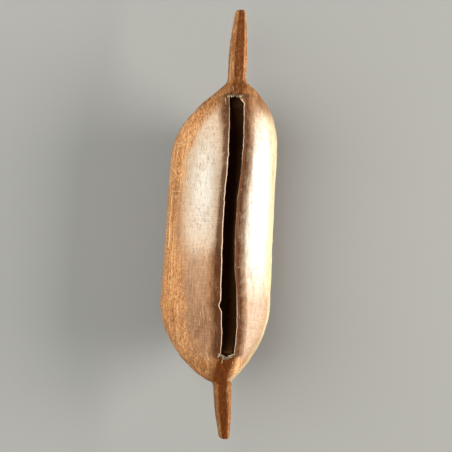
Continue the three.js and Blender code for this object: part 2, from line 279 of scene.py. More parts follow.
class WoodColours(PropertyGroup):
    """Colours of the wood, linear."""

    lobe: colour("Lobes", "Oiled wood of the lobes", (0.31, 0.166, 0.094))
    lobe_dark: colour("Lobe streaks", "Dark streaks along the lobes", (0.19, 0.092, 0.046))
    # Partly painted highlight: pale warm wood round the polished patches widens the sheen's edge
    rubbed_and_highlit: colour("Rubbed wood", "Pale warm wood round the polished patches", (0.50, 0.36, 0.245))
    polished: colour("Polished wood", "Dark under the sheen where it is most polished", (0.215, 0.18, 0.13))
    flank: colour("Border", "Rough orange wood along the outline and below", (0.53, 0.242, 0.092))
    flank_dark: colour("Border shade", "Dark grain and specks in the border", (0.22, 0.076, 0.021))
    # Painted light: a pale yellow that stands for the strong light falling on the right side
    painted_light_colour: colour("Bleached side", "Yellowed pale wood down the right side", (0.47, 0.43, 0.265))
    pale: colour("Pale strokes", "Worn pale strokes", (0.74, 0.50, 0.27))
    pore: colour("Pores", "Short dark pores", (0.07, 0.035, 0.02))
    # Painted shade in the valleys beside the lips and in the slit's head end, and darker wood towards the ends
    # and the belly
    shade_and_darkening: colour("Soot", "Dark handled and smoked wood at the ends and in the valleys", (0.125, 0.047, 0.017))
    # Dirt and painted shade: dark red in the grooves at the foot of the lips, where shade falls
    groove: colour("Grooves", "Reddened old grime beside the lips", (0.065, 0.021, 0.0075))
    # Partly painted highlight: the pale lip tops stand for wear and for the light their edges catch
    rim: colour("Lip tops", "Worn pale top of the lips", (0.60, 0.43, 0.32))
    raw: colour("Splinters", "Grey broken wood at the slit's ends", (0.40, 0.30, 0.20))
    raw_dark: colour("Splinter shade", "Dark between the splinters", (0.06, 0.04, 0.024))
    hollow: colour("Hollow", "Dark unpolished inside", (0.22, 0.085, 0.026))
    # Painted shade: near black on the slit's cut faces, which lie in shade
    wall: colour("Slit walls", "Blackened cut faces of the slit", (0.016, 0.008, 0.004))
    handle: colour("Handle tops", "Dark top facets of the handles", (0.055, 0.012, 0.0015))
    handle_light: colour("Handle mottle", "Worn spots on the handles' top facets", (0.12, 0.032, 0.004))


def ease(x):
    """Smooth step: 0 below 0, 1 above 1, and 3 t^2 - 2 t^3 between."""
    t = np.clip(x, 0, 1)
    return t * t * (3 - 2 * t)


def rounded_max(a, b, rounding):
    """The larger of two sizes with the corner between them rounded: (a + b + hypot(a - b, rounding)) / 2."""
    return (a + b + np.hypot(a - b, rounding)) / 2


def mix(a, b, factor):
    """a where factor is 0, b where it is 1."""
    return a + (b - a) * factor


def curve_through(points, place):
    """Smooth curve through (place, value) pairs, held at its ends: cubics whose slope at each point is that
    of the line between its two neighbours."""
    x, y = np.array(points, float).T
    index = np.arange(len(x))
    before, after = np.maximum(index - 1, 0), np.minimum(index + 1, len(x) - 1)
    slope = (y[after] - y[before]) / (x[after] - x[before])
    p = np.clip(place, x[0], x[-1])
    i = np.clip(np.searchsorted(x, p, side="right") - 1, 0, len(x) - 2)
    span = x[i + 1] - x[i]
    t = (p - x[i]) / span
    ends = y[i] * (1 + 2 * t) * (1 - t) ** 2 + y[i + 1] * t * t * (3 - 2 * t)
    return ends + span * t * (1 - t) * (slope[i] * (1 - t) - slope[i + 1] * t)


def ripple(places, wavelength, seed, waves=7):
    """Smooth unevenness over places (..., 2 or 3), mostly between -1 and 1: the sum of a few sine waves in
    seeded directions over the root of their number, with wavelengths from 0.7 to 1.5 times the one asked for."""
    rng = np.random.default_rng(seed)
    heading = rng.normal(size=(waves, places.shape[-1]))
    heading /= np.linalg.norm(heading, axis=1, keepdims=True)
    heading *= 2 * math.pi / (wavelength * rng.uniform(0.7, 1.5, (waves, 1)))
    phase = rng.uniform(0, 2 * math.pi, waves)
    return np.sin(places @ heading.T + phase).sum(-1) / math.sqrt(waves)


class Form:
    """The drum's shape as functions of y, the distance along it from half way between the shoulders."""

    def __init__(self, s):
        self.s = s
        self.head_shoulder = s.body_length / 2
        self.foot_shoulder = -s.body_length / 2
        self.head_tip = self.head_shoulder + s.head_handle
        self.foot_tip = self.foot_shoulder - s.foot_handle
        self.slit_head = self.head_shoulder - s.head_margin
        self.slit_foot = self.foot_shoulder + s.foot_margin
        flat_share = 1 - math.sqrt(1 - (s.flat_width / s.body_width) ** 2)
        self.half_depth = s.crown_height / (2 - flat_share)
        self.points = (self.head_shoulder + s.head_overlap, self.foot_shoulder - s.foot_overlap)
        # (length, power along, power across) at the head and at the foot
        self.plan = ((s.head_taper, 2.5, 1), (s.foot_taper, 1.66, 1.56))
        self.keel = ((s.head_keel, 1.8, 0.62), (s.foot_keel, 2, 1.4))
        self.bevels = (1.05, 1.17)

    def fullness(self, y, points, ends):
        """How full the body is at y: 1 along its straight middle, and (1 - x^along)^(1/across) at an end,
        where x goes from 0 where that end starts to 1 at its point."""
        out = []
        for end, sign in ((0, 1), (1, -1)):
            reach, along, across = ends[end]
            reach -= abs(self.points[end] - points[end])
            x = np.clip(1 - sign * (points[end] - y) / reach, 0, 1)
            out.append((1 - x**along) ** (1 / across))
        return np.where(y > 0, out[0], out[1])

    def full_half_width(self, y):
        return (self.s.body_width - self.s.width_gain * y / self.s.body_length) / 2

    def sway(self, y):
        return curve_through(BODY_SWAY, (y - self.foot_shoulder) / self.s.body_length)

    def crown(self, y):
        """Height of the crown line: level in the middle, lower at the shoulders by the crown fall."""
        head = ease((y - (self.head_shoulder - self.s.head_taper)) / self.s.head_taper)
        foot = ease((self.foot_shoulder + self.s.foot_taper - y) / self.s.foot_taper)
        return self.s.crown_height - self.s.crown_fall * np.maximum(head, foot)

    def along_handle(self, y):
        """0 at a shoulder and 1 at that handle's tip; negative on the body."""
        head = (y - self.head_shoulder) / self.s.head_handle
        foot = (self.foot_shoulder - y) / self.s.foot_handle
        return np.where(y > 0, head, foot)

    def handle_share(self, y):
        """Width of the handle as a share of its full width, rounded off over the tip as a quarter circle."""
        along = self.along_handle(y)
        outline = np.where(
            y > 0, curve_through(HEAD_HANDLE_OUTLINE, along), curve_through(FOOT_HANDLE_OUTLINE, along)
        )
        to_tip = np.clip(np.minimum(self.head_tip - y, y - self.foot_tip) / self.s.tip_rounding, 0, 1)
        return outline * (0.5 + 0.5 * np.sqrt(1 - (1 - to_tip) ** 2))

    def handle_shift(self, y):
        lean = self.s.foot_shift + self.s.foot_lean * np.maximum(0, self.along_handle(y))
        return np.where(y > 0, self.s.head_shift, lean)

    def whittled(self, across, up, y):
        """Radius of the handle's section in the direction (across, up), both as shares of its half sizes: a
        rounded octagon, whose bevels lie farther out than its other sides and waver along the handle. It is
        the power mean of the distances to the eight sides."""
        turn = np.arctan2(up, across)
        radius = 0
        for k in range(8):
            waver = 1 + 0.035 * np.sin(y / (17 * MM + 2 * MM * k) + 2.4 * k) * (k % 2)
            distance = np.where(y > 0, *self.bevels) * waver if k % 2 else 1
            radius = radius + np.maximum(0, np.cos(turn - k * math.pi / 4) / distance) ** 18
        return radius ** (-1 / 18)

    def lips(self, y):
        """How much of the lips and grooves there is: 1 along the slit, 0 on the handles."""
        return 1 - ease(np.maximum(y - self.slit_head, self.slit_foot - y) / self.s.lip_run_out)

    def slit_edge(self, side, y):
        """Place of the slit's left (side -1) or right (side 1) edge, or of its middle line (side 0). The edges
        have the hand's unsteadiness, and the left one a nick and a small burr."""
        span = self.slit_head - self.slit_foot
        along = (np.clip(y, self.slit_foot, self.slit_head) - self.slit_foot) / span
        half = self.s.slit_width / 2 * curve_through(SLIT_OPENING, along)
        inside = np.clip(y, self.slit_foot, self.slit_head)
        wobble = 0.25 * MM * ripple(np.stack([inside, inside * 0 + side], -1), 26 * MM, 5 + side)
        wobble += 0.2 * MM * ripple(np.stack([inside, inside * 0 + side], -1), 9 * MM, 15 + side)
        if side < 0:
            nick = np.abs(inside - mix(self.slit_foot, self.slit_head, NICK_PLACE))
            wobble += NICK_BITE * np.maximum(0, 1 - nick / (NICK_LENGTH / 2)) ** 1.2
            burr = np.abs(inside - mix(self.slit_foot, self.slit_head, BURR_PLACE))
            wobble -= BURR_HEIGHT * np.exp(-((burr / BURR_LENGTH) ** 2))
        return curve_through(SLIT_WANDER, along) + side * (half + wobble)


def spaced(start, end, step):
    """Places from start up to but not including end, about step apart."""
    count = max(1, round((end - start) / step))
    return start + (end - start) * np.arange(count) / count


def row_places(form):
    """Places of the outer skin's rows, finer at the slit's ends and the tips, and the numbers of the rows at
    the slit's foot and head ends."""
    s = form.s
    near = 12 * MM
    cap = s.tip_rounding * (1 - np.cos(np.linspace(0, math.pi / 2, 5)))
    low, high = form.slit_foot - RIM_ROUNDING, form.slit_head + RIM_ROUNDING
    foot = np.concatenate([
        form.foot_tip + cap[:-1],
        spaced(form.foot_tip + s.tip_rounding, form.foot_shoulder - near, HANDLE_ROW),
        spaced(form.foot_shoulder - near, form.foot_shoulder + near, HANDLE_ROW),
        spaced(form.foot_shoulder + near, low - near, BODY_ROW),
        spaced(low - near, low, END_ROW),
    ])
    middle = np.concatenate([
        spaced(low, low + near, END_ROW),
        spaced(low + near, high - near, BODY_ROW),
        spaced(high - near, high, END_ROW),
    ])
    head = np.concatenate([
        spaced(high, high + near, END_ROW),
        spaced(high + near, form.head_tip - s.tip_rounding, HANDLE_ROW),
        form.head_tip - cap[::-1],
    ])
    return np.concatenate([foot, middle, head]), len(foot), len(foot) + len(middle)


def outer_skin(form, rows):
    """Outer skin on a grid of rows along the drum by columns round it. A row is a crown arc and a belly arc,
    |x/a|^p + |z/b|^p = 1 about a middle that keeps its top on the crown line. Over the arc lie, counted out
    from the slit's edge, the lip, the hollow curve up to it and the groove. Columns start at the slit's left
    edge, cross to its right edge, and go down the right side and up the left. Returns the places, and notes
    on each: the distance out from the slit's edge, how much it is body and not handle, its place across and
    up in its row, and the row's half width and shift."""
    s = form.s
    y = rows[:, None]
    handle = form.handle_share(y)
    half_width = form.full_half_width(y) * form.fullness(y, form.points, form.plan)
    half_depth = form.half_depth * form.fullness(y, form.points, form.keel)
    a = rounded_max(half_width, s.handle_width / 2 * handle, 4 * MM)
    b = rounded_max(half_depth, s.handle_thickness / 2 * (0.35 + 0.65 * handle), 4 * MM)
    body = ease((half_width - s.handle_width / 3) / (s.handle_width / 2))
    shift = mix(form.handle_shift(y), form.sway(y), body)
    crown_power = mix(2.7, 2.25, body)
    belly_power = mix(2.7, 2.0, body)
    middle = form.crown(y) - b
    lips = form.lips(y)

    def arc_top(x):
        return middle + b * (1 - np.minimum(1, np.abs(x / a)) ** crown_power) ** (1 / crown_power)

    foot_end = s.lip_thickness + s.lip_foot
    in_lip = np.linspace(RIM_ROUNDING, s.lip_thickness, LIP_COLUMNS)
    in_foot = s.lip_thickness + s.lip_foot * np.linspace(0, 1, FOOT_COLUMNS + 1)[1:] ** 1.3
    near_head = y < form.slit_head + s.lip_run_out
    to_slope = np.clip(CORNER_SLOPE - (form.slit_head - y), 0, CORNER_SLOPE) * near_head
    xs, rises, outs = [], [], []
    edges = {}
    for side in (1, -1):
        edge = form.slit_edge(side, y) * side - shift * side * lips
        lip_reach = edge + foot_end
        squeeze = np.minimum(1, 0.75 * a / (lip_reach + s.groove_width / 4))
        spread = curve_through(LEFT_GROOVE, y) if side < 0 else 0.9
        sunk = s.groove_depth * np.minimum(1, spread if side < 0 else 1)
        groove = np.maximum(0.1 * a, np.minimum(s.groove_width * spread, 0.85 * a - lip_reach * squeeze))
        slope = to_slope * lips if side > 0 else 0 * y
        lip_x = edge + mix(in_lip - slope, in_lip, (in_lip - in_lip[0]) / np.ptp(in_lip))
        t = np.linspace(0, 1, GROOVE_COLUMNS + 1)[1:]
        x = np.concatenate([
            lip_x * squeeze,
            (edge + in_foot) * squeeze,
            lip_reach * squeeze + groove * t,
        ], 1)
        rounded = 1 - LIP_ROUNDING * np.clip((in_lip - 1 * MM) / (s.lip_thickness - 1 * MM), 0, 1) ** 2
        climb = np.concatenate([
            rounded,
            rounded[-1] * ((foot_end - in_foot) / s.lip_foot) ** 1.5,
            np.zeros(GROOVE_COLUMNS),
        ])
        sink = np.concatenate([np.ones(LIP_COLUMNS + FOOT_COLUMNS), 1 - ease(t)])
        rise = ((s.lip_height - s.groove_depth + sunk) * climb - sunk * sink) * lips
        start = np.arccos(np.clip(x[:, -1:] / a, 0, 1) ** (crown_power / 2))
        angle = start - (start + math.pi / 2) * np.linspace(0, 1, FLANK_COLUMNS + 1)[None, 1:]
        power = np.where(angle > 0, crown_power, belly_power)
        flank_x = a * np.clip(np.cos(angle), 0, 1) ** (2 / power)
        flank_z = middle + b * np.sign(angle) * np.abs(np.sin(angle)) ** (2 / power)
        edges[side] = x[:, :1]
        xs.append((side * x, side * flank_x))
        rises.append((arc_top(x) + rise, flank_z))
        outs.append(np.concatenate([
            np.broadcast_to(in_lip, (len(rows), LIP_COLUMNS)),
            np.broadcast_to(in_foot, (len(rows), FOOT_COLUMNS)),
            foot_end + groove * t,
            foot_end + groove + flank_z * 0 + 50 * MM,
        ], 1))
    across = np.linspace(0, 1, ACROSS_SLIT + 1)[None, :-1]
    strip_x = mix(-edges[-1], edges[1], across)
    strip_z = arc_top(strip_x) + (s.lip_height - s.groove_depth) * lips
    right = np.concatenate([xs[0][0], xs[0][1]], 1)
    left = np.concatenate([xs[1][0], xs[1][1]], 1)
    right_z = np.concatenate(rises[0], 1)
    left_z = np.concatenate(rises[1], 1)
    # The left side's first column is the strip's first, and its last is the middle of the belly
    x = np.concatenate([strip_x, right, left[:, -2:0:-1]], 1)
    z = np.concatenate([strip_z, right_z, left_z[:, -2:0:-1]], 1)
    out = np.concatenate([strip_x * 0, outs[0], outs[1][:, -2:0:-1]], 1)
    u, v = x / a, (z - middle) / b
    facets = mix(form.whittled(u, v, y) / np.hypot(u, v), 1, body)
    places = np.stack([x * facets + shift, np.broadcast_to(y, x.shape), middle + (z - middle) * facets], -1)
    notes = {"out": out, "body": body, "across": x, "half": a, "up": v, "shift": shift}
    return places, {name: np.broadcast_to(value, x.shape) for name, value in notes.items()}


def hollow_skin(form, rows):
    """The hollow's skin on rows along the slit, with the same first columns across the slit as the outer
    skin. A row is |x/a|^p + |z/b|^p = 1, round in the middle and square at the ends, where it is the chopped
    end of the slit. Three rows more at each end close it. Returns the places and the number of those rows."""
    s = form.s
    closing = np.array([0.8, 1.4, 1.5]) * MM
    inset = np.array([0.04, 0.25, 0.98])
    y = np.concatenate([rows[0] - closing[::-1], rows, rows[-1] + closing])[:, None]
    shrink = np.concatenate([1 - inset[::-1], np.ones(len(rows)), 1 - inset])[:, None]
    held = np.clip(y, form.slit_foot, form.slit_head)
    points = (form.slit_head, form.slit_foot)
    fill = form.fullness(held, points, form.plan)
    deep = form.fullness(held, points, form.keel)
    left, right = form.slit_edge(-1, held), form.slit_edge(1, held)
    chopped = 1 - ease(fill / 0.4)
    a = rounded_max((form.full_half_width(held) - s.side_wall) * fill, (right - left) / 2 + 1.5 * MM, 3 * MM)
    depth = form.half_depth - (s.crown_wall + s.belly_wall) / 2
    b = rounded_max(depth * deep, s.slit_end_depth / 2 - s.crown_wall / 2, 3 * MM)
    power = mix(2.0, 5.0, chopped)
    centre = mix(form.sway(held), (left + right) / 2, chopped)
    middle = form.crown(held) - s.crown_wall - b
    left = (left - RIM_ROUNDING - centre) / a
    right = (right + RIM_ROUNDING - centre) / a
    across = mix(left, right, np.linspace(0, 1, ACROSS_SLIT + 1)[None, :])
    turn = np.linspace(0, 1, HOLLOW_COLUMNS + 1)[None, 1:]
    start = np.arccos(np.clip(np.concatenate([right, -left], 1), 0, 1) ** (power / 2))
    angle = start[:, :, None] - (start[:, :, None] + math.pi / 2) * turn[None]
    side_x = np.clip(np.cos(angle), 0, 1) ** (2 / power[:, :, None])
    side_z = np.sign(angle) * np.abs(np.sin(angle)) ** (2 / power[:, :, None])
    x = np.concatenate([across, side_x[:, 0], -side_x[:, 1, -2::-1]], 1)
    top = (1 - np.clip(np.abs(across), 0, 1) ** power) ** (1 / power)
    z = np.concatenate([top, side_z[:, 0], side_z[:, 1, -2::-1]], 1)
    places = np.stack([centre + a * x * shrink, np.broadcast_to(y, x.shape), middle + b * z * shrink], -1)
    return places, len(closing)


def ring(first, last, across):
    """Grid places (row, column) round the slit, anticlockwise from above: up the right edge, back across the
    head end, down the left edge and across the foot end."""
    up = np.arange(first, last)
    return np.concatenate([
        np.stack([up, np.full_like(up, across)], 1),
        np.stack([np.full(across, last), np.arange(across, 0, -1)], 1),
        np.stack([up[::-1] + 1, np.zeros_like(up)], 1),
        np.stack([np.full(across, first), np.arange(across)], 1),
    ])


def grid_faces(count_rows, columns, hole=None):
    """Quads between neighbouring rows and columns of a grid that closes on itself round its columns, facing
    out when columns run clockwise as seen along +Y. hole is (first row, last row, columns) to leave out."""
    r, c = np.meshgrid(np.arange(count_rows - 1), np.arange(columns), indexing="ij")
    if hole:
        keep = ~((r >= hole[0]) & (r < hole[1]) & (c < hole[2]))
        r, c = r[keep], c[keep]
    r, c = r.ravel(), c.ravel()
    d = (c + 1) % columns
    return np.stack([r * columns + c, r * columns + d, (r + 1) * columns + d, (r + 1) * columns + c], 1)


def rim_rings(outer, inner, outward):
    """Rings of places from the outer skin's edge of the slit to the hollow's: a quarter circle over the lip's
    inner corner, a straight wall, and a quarter circle into the hollow."""
    turn = np.linspace(0, math.pi / 2, 4)[1:, None]
    down = np.array([0, 0, -1.0])
    side = np.concatenate([-outward, np.zeros((len(outward), 1))], 1)
    top = [outer + RIM_ROUNDING * (side * np.sin(t) + down * (1 - np.cos(t))) for t in turn]
    low = [inner + RIM_ROUNDING * (side * np.cos(t) - down * (1 - np.sin(t))) for t in turn - turn[0]]
    count = RIM_LOOPS - len(top) - len(low)
    wall = [mix(top[-1], low[0], (k + 1) / (count + 1)) for k in range(count)]
    return top + wall + low


def broken_ends(places, form, notes):
    """Ragged breaks at the slit's two ends, on the drum's top only: the wood near each end is pulled along
    the drum by a broken line over the slit's width, fading away from it, and stands up in splinters just
    beyond the break."""
    y = places[..., 1]
    width = form.slit_edge(1, y) - form.slit_edge(-1, y)
    share = (places[..., 0] - form.slit_edge(-1, y)) / width
    within = ease((0.5 + 0.1 - np.abs(share - 0.5)) / 0.1) * (notes["up"] > 0.3)
    flat = places[..., :2]
    rough = 0.9 * MM * ripple(flat * [1, 0.02], 5 * MM, 61)
    rough += 0.4 * MM * ripple(flat * [1, 0.02], 2.4 * MM, 62)
    moved = places.copy()
    for end, sign in ((form.slit_head + RIM_ROUNDING, 1), (form.slit_foot - RIM_ROUNDING, -1)):
        beyond = sign * (y - end)
        pull = (1 - ease(np.abs(beyond) / RAG_REACH)) * within
        broken = rough if sign > 0 else rough * 0.7 + curve_through(FOOT_BREAK, share)
        moved[..., 1] += sign * broken * pull
        splinter = np.exp(-(((beyond - 0.7 * MM) / (1.1 * MM)) ** 2)) * within
        lift = 0.6 + 0.5 * ripple(flat * [1, 0.3], 4 * MM, 63)
        moved[..., 2] += SPLINTER_HEIGHT * splinter * np.maximum(lift, -0.3)
    return moved


def carved(places, form, notes):
    """The hand's marks on the outer skin, moved out along each row's own ray from its middle: long shallow
    unevenness on the body, finer on the handles, a wavering height of the lips, and the flat it rests on."""
    s = form.s
    body = notes["body"]
    level = (places[..., 2].max(1) + places[..., 2].min(1)) / 2
    centre = np.stack([places[..., 0].mean(1), places[:, 0, 1], level], -1)[:, None]
    ray = (places - centre) * [1, 0, 1]
    ray /= np.maximum(np.linalg.norm(ray, axis=-1, keepdims=True), 1e-6)
    on_lobe = ease((notes["out"] - s.lip_thickness - s.lip_foot) / s.groove_width)
    uneven = 0.5 * MM * ripple(places * [1, 0.3, 1], 70 * MM, 21)
    uneven += 0.1 * MM * ripple(places * [1, 0.4, 1], 19 * MM, 22)
    nicked = 0.22 * MM * ripple(places * [1, 0.5, 1], 9 * MM, 23)
    # Shallow hollows of the blade that meet in ridges, on the unpolished sides and belly
    blade = np.abs(ripple(places * [1, 0.45, 1], 26 * MM, 24)) * BLADE_DEPTH
    rough = ease((0.75 - notes["up"]) / 0.5)
    push = (uneven * mix(0.35, 1, on_lobe) - blade * rough) * body + nicked * (1 - body)
    moved = places + ray * push[..., None]
    moved[..., 0] -= RIDGE_HEIGHT * left_ridge(places, notes["across"])
    lip = (1 - ease((notes["out"] - s.lip_thickness) / s.lip_foot)) * form.lips(places[..., 1]) * body
    moved[..., 2] += lip * 0.4 * MM * ripple(places[..., :2] * [0.3, 1], 17 * MM, 31)
    moved[..., 2] = rounded_max(moved[..., 2], 0, REST_ROUNDING)
    return moved


def left_ridge(places, across):
    """1 along the low ridge down the left side, fading at its two ends: a bell curve over the height."""
    y = places[..., 1]
    fade = ease((y - RIDGE_SPAN[0]) / (20 * MM)) * ease((RIDGE_SPAN[1] - y) / (20 * MM))
    return fade * np.exp(-(((places[..., 2] - RIDGE_LEVEL) / (3 * MM)) ** 2)) * (across < 0)


def drum_mesh(form):
    """All of the drum as numpy arrays: its places, its quads, the triangles that close its tips and the
    hollow's ends, and notes on the places."""
    rows, first, last = row_places(form)
    outer, notes = outer_skin(form, rows)
    outer = broken_ends(carved(outer, form, notes), form, notes)
    columns = outer.shape[1]
    hollow, caps = hollow_skin(form, rows[first : last + 1])
    hollow = hollow + 0.5 * MM * ripple(hollow, 30 * MM, 41)[..., None] * np.array([0.6, 0, 0.6])
    outer_ring = ring(first, last, ACROSS_SLIT)
    inner_ring = ring(caps, caps + last - first, ACROSS_SLIT)
    outward = np.zeros((len(outer_ring), 2))
    outward[outer_ring[:, 1] == ACROSS_SLIT, 0] = 1
    outward[outer_ring[:, 1] == 0, 0] = -1
    outward[outer_ring[:, 0] == first, 1] = -1
    outward[outer_ring[:, 0] == last, 1] = 1
    outward /= np.linalg.norm(outward, axis=1, keepdims=True)
    top = outer[outer_ring[:, 0], outer_ring[:, 1]]
    low = hollow[inner_ring[:, 0], inner_ring[:, 1]]
    loops = rim_rings(top, low, outward)

    parts = [outer.reshape(-1, 3), hollow.reshape(-1, 3), *loops]
    starts = np.cumsum([0] + [len(p) for p in parts])
    hollow_columns = hollow.shape[1]
    faces = [grid_faces(len(rows), columns, (first, last, ACROSS_SLIT))]
    inner = grid_faces(len(hollow), hollow_columns, (caps, caps + last - first, ACROSS_SLIT))
    faces.append(inner[:, ::-1] + starts[1])
    chain = [outer_ring[:, 0] * columns + outer_ring[:, 1]]
    chain += [starts[2 + k] + np.arange(len(loop)) for k, loop in enumerate(loops)]
    chain.append(starts[1] + inner_ring[:, 0] * hollow_columns + inner_ring[:, 1])
    for upper, lower in zip(chain, chain[1:]):
        faces.append(np.stack([upper, np.roll(upper, -1), np.roll(lower, -1), lower], 1))

    # Fans that close the two tips of the outer skin and the two ends of the hollow
    places = np.concatenate(parts)
    fans = []
    for row, count, start, flip in (
        (0, columns, 0, False),
        (len(rows) - 1, columns, 0, True),
        (0, hollow_columns, starts[1], True),
        (len(hollow) - 1, hollow_columns, starts[1], False),
    ):
        round_row = start + row * count + np.arange(count)
        fan = np.stack([round_row, np.full(count, len(places)), np.roll(round_row, -1)], 1)
        places = np.concatenate([places, places[round_row].mean(0, keepdims=True)])
        fans.append(fan[:, ::-1] if flip else fan)
    notes["rim_start"], notes["hollow_start"] = starts[2], starts[1]
    notes["ring"] = len(outer_ring)
    return places, np.concatenate(faces), np.concatenate(fans), notes


def fitted(places):
    """Places scaled so that their box is the frame's box for the drum, which takes 1.8 % off its width. The
    box counts the unused places across the slit. They reach 0.2 mm above the lips, so the drum ends that much
    lower."""
    low, high = places.min(0), places.max(0)
    return (places - low) / (high - low) * CAD_SIZE + CAD_LOW


def without_unused(places, values, quads, triangles):
    """Places, finish values and faces without the places that no face uses, which lie across the slit."""
    used = np.zeros(len(places), bool)
    used[quads.ravel()] = True
    used[triangles.ravel()] = True
    number = np.cumsum(used) - 1
    kept = {name: value[used] for name, value in values.items()}
    return places[used], kept, number[quads], number[triangles]


def mesh_object(name, places, quads, triangles):
    """A smooth mesh object from arrays of places and faces."""
    mesh = bpy.data.meshes.new(name)
    loops = np.concatenate([quads.ravel(), triangles.ravel()])
    sizes = np.concatenate([np.full(len(quads), 4), np.full(len(triangles), 3)])
    mesh.vertices.add(len(places))
    mesh.vertices.foreach_set("co", places.astype(np.float32).ravel())
    mesh.loops.add(len(loops))
    mesh.loops.foreach_set("vertex_index", loops.astype(np.int32))
    mesh.polygons.add(len(sizes))
    mesh.polygons.foreach_set("loop_start", (np.cumsum(sizes) - sizes).astype(np.int32))
    mesh.polygons.foreach_set("use_smooth", np.ones(len(sizes), bool))
    mesh.update(calc_edges=True)
    if mesh.validate():
        raise RuntimeError(f"the mesh of {name} has faulty faces")
    thing = bpy.data.objects.new(name, mesh)
    bpy.context.scene.collection.objects.link(thing)
    return thing


def put_attribute(mesh, name, values):
    """A per-vertex number on a mesh."""
    layer = mesh.attributes.new(name, "FLOAT", "POINT")
    layer.data.foreach_set("value", values.astype(np.float32))


class Value:
    """A number or a link in a material's tree. Python's operators on it add Math nodes."""

    def __init__(self, tree, socket):
        self.tree = tree
        self.socket = socket

    def math(self, operation, *others):
        node = self.tree.node("ShaderNodeMath", {"operation": operation}, dict(enumerate((self, *others))))
        return node.value("Value")

    def __add__(self, other):
        return self.math("ADD", other)

    def __sub__(self, other):
        return self.math("SUBTRACT", other)

    def __rsub__(self, other):
        return Value(self.tree, other).math("SUBTRACT", self)

    def __mul__(self, other):
        return self.math("MULTIPLY", other)

    __radd__ = __add__
    __rmul__ = __mul__

    def size(self):
        """Its distance from 0."""
        return self.math("ABSOLUTE")

    def step(self, low, high):
        """0 below low, 1 above high and smooth between; falls where low is the larger."""
        settings = {"interpolation_type": "SMOOTHSTEP"}
        rises = low < high
        return self.tree.node("ShaderNodeMapRange", settings, {
            "Value": self,
            "From Min": min(low, high),
            "From Max": max(low, high),
            "To Min": 0 if rises else 1,
            "To Max": 1 if rises else 0,
        }).value("Result")


class Node:
    """A node whose outputs are read as values."""

    def __init__(self, tree, node):
        self.tree = tree
        self.node = node

    def value(self, name):
        return Value(self.tree, self.node.outputs[name])


class Tree:
    """A material's node tree, emptied, with one way to add any node."""

    def __init__(self, material):
        material.use_nodes = True
        self.nodes = material.node_tree.nodes
        self.links = material.node_tree.links
        self.nodes.clear()

    def node(self, kind, settings, sockets):
        node = self.nodes.new(kind)
        for name, value in settings.items():
            setattr(node, name, value)
        for name, value in sockets.items():
            held = value.socket if isinstance(value, Value) else value
            if isinstance(held, bpy.types.NodeSocket):
                self.links.new(held, node.inputs[name])
            else:
                node.inputs[name].default_value = held
        return Node(self, node)

    def attribute(self, name):
        return self.node("ShaderNodeAttribute", {"attribute_name": name}, {}).value("Fac")

    def stretched(self, scale):
        """Object coordinates times a scale per axis, for a pattern drawn out along the grain."""
        place = self.node("ShaderNodeTexCoord", {}, {}).value("Object")
        scaled = self.node("ShaderNodeVectorMath", {"operation": "MULTIPLY"}, {0: place, 1: scale})
        return scaled.value("Vector")

    def noise(self, scale, detail, rough, warp):
        """Noise between 0 and 1 on stretched object coordinates."""
        return self.node("ShaderNodeTexNoise", {}, {
            "Vector": self.stretched(scale),
            "Scale": 1.0,
            "Detail": detail,
            "Roughness": rough,
            "Distortion": warp,
        }).value("Fac")

    def marks(self, marks):
        """1 along thin marks on the drum's top, (width, places along it) in millimetres, and 0 away from them:
        the distance to the nearest of their straight stretches, as seen from above."""
        place = self.stretched((1 / MM, 1 / MM, 0))
        top = self.stretched((0, 0, 1 / TOP_LEVEL))
        height = self.node("ShaderNodeVectorMath", {"operation": "LENGTH"}, {0: top}).value("Value")
        high = height.step(0.9, 1)
        found = 0
        for width, path in marks:
            for start, end in zip(path, path[1:]):
                span = (end[0] - start[0], end[1] - start[1], 0)
                share = 1 / (span[0] ** 2 + span[1] ** 2)
                from_start = self.vector("SUBTRACT", place, (*start, 0))
                along = self.vector("DOT_PRODUCT", from_start, span, "Value") * share
                nearest = self.node("ShaderNodeVectorMath", {"operation": "SCALE"}, {
                    0: span,
                    "Scale": along.math("MAXIMUM", 0).math("MINIMUM", 1),
                })
                off = self.vector("DISTANCE", from_start, nearest.value("Vector"), "Value")
                found = off.step(width * 0.85, width * 0.15).math("MAXIMUM", found)
        return found * high

    def vector(self, operation, a, b, output="Vector"):
        """One vector sum on two vectors."""
        return self.node("ShaderNodeVectorMath", {"operation": operation}, {0: a, 1: b}).value(output)

    def mixed(self, factor, a, b):
        """Colour a where factor is 0 and b where it is 1."""
        sockets = {"Factor": factor, 6: colour_of(a), 7: colour_of(b)}
        return self.node("ShaderNodeMix", {"data_type": "RGBA"}, sockets).value(2)


def colour_of(value):
    """A colour for a socket: a link as it is, three numbers with an alpha of 1."""
    return value if isinstance(value, Value) else (*value, 1.0)


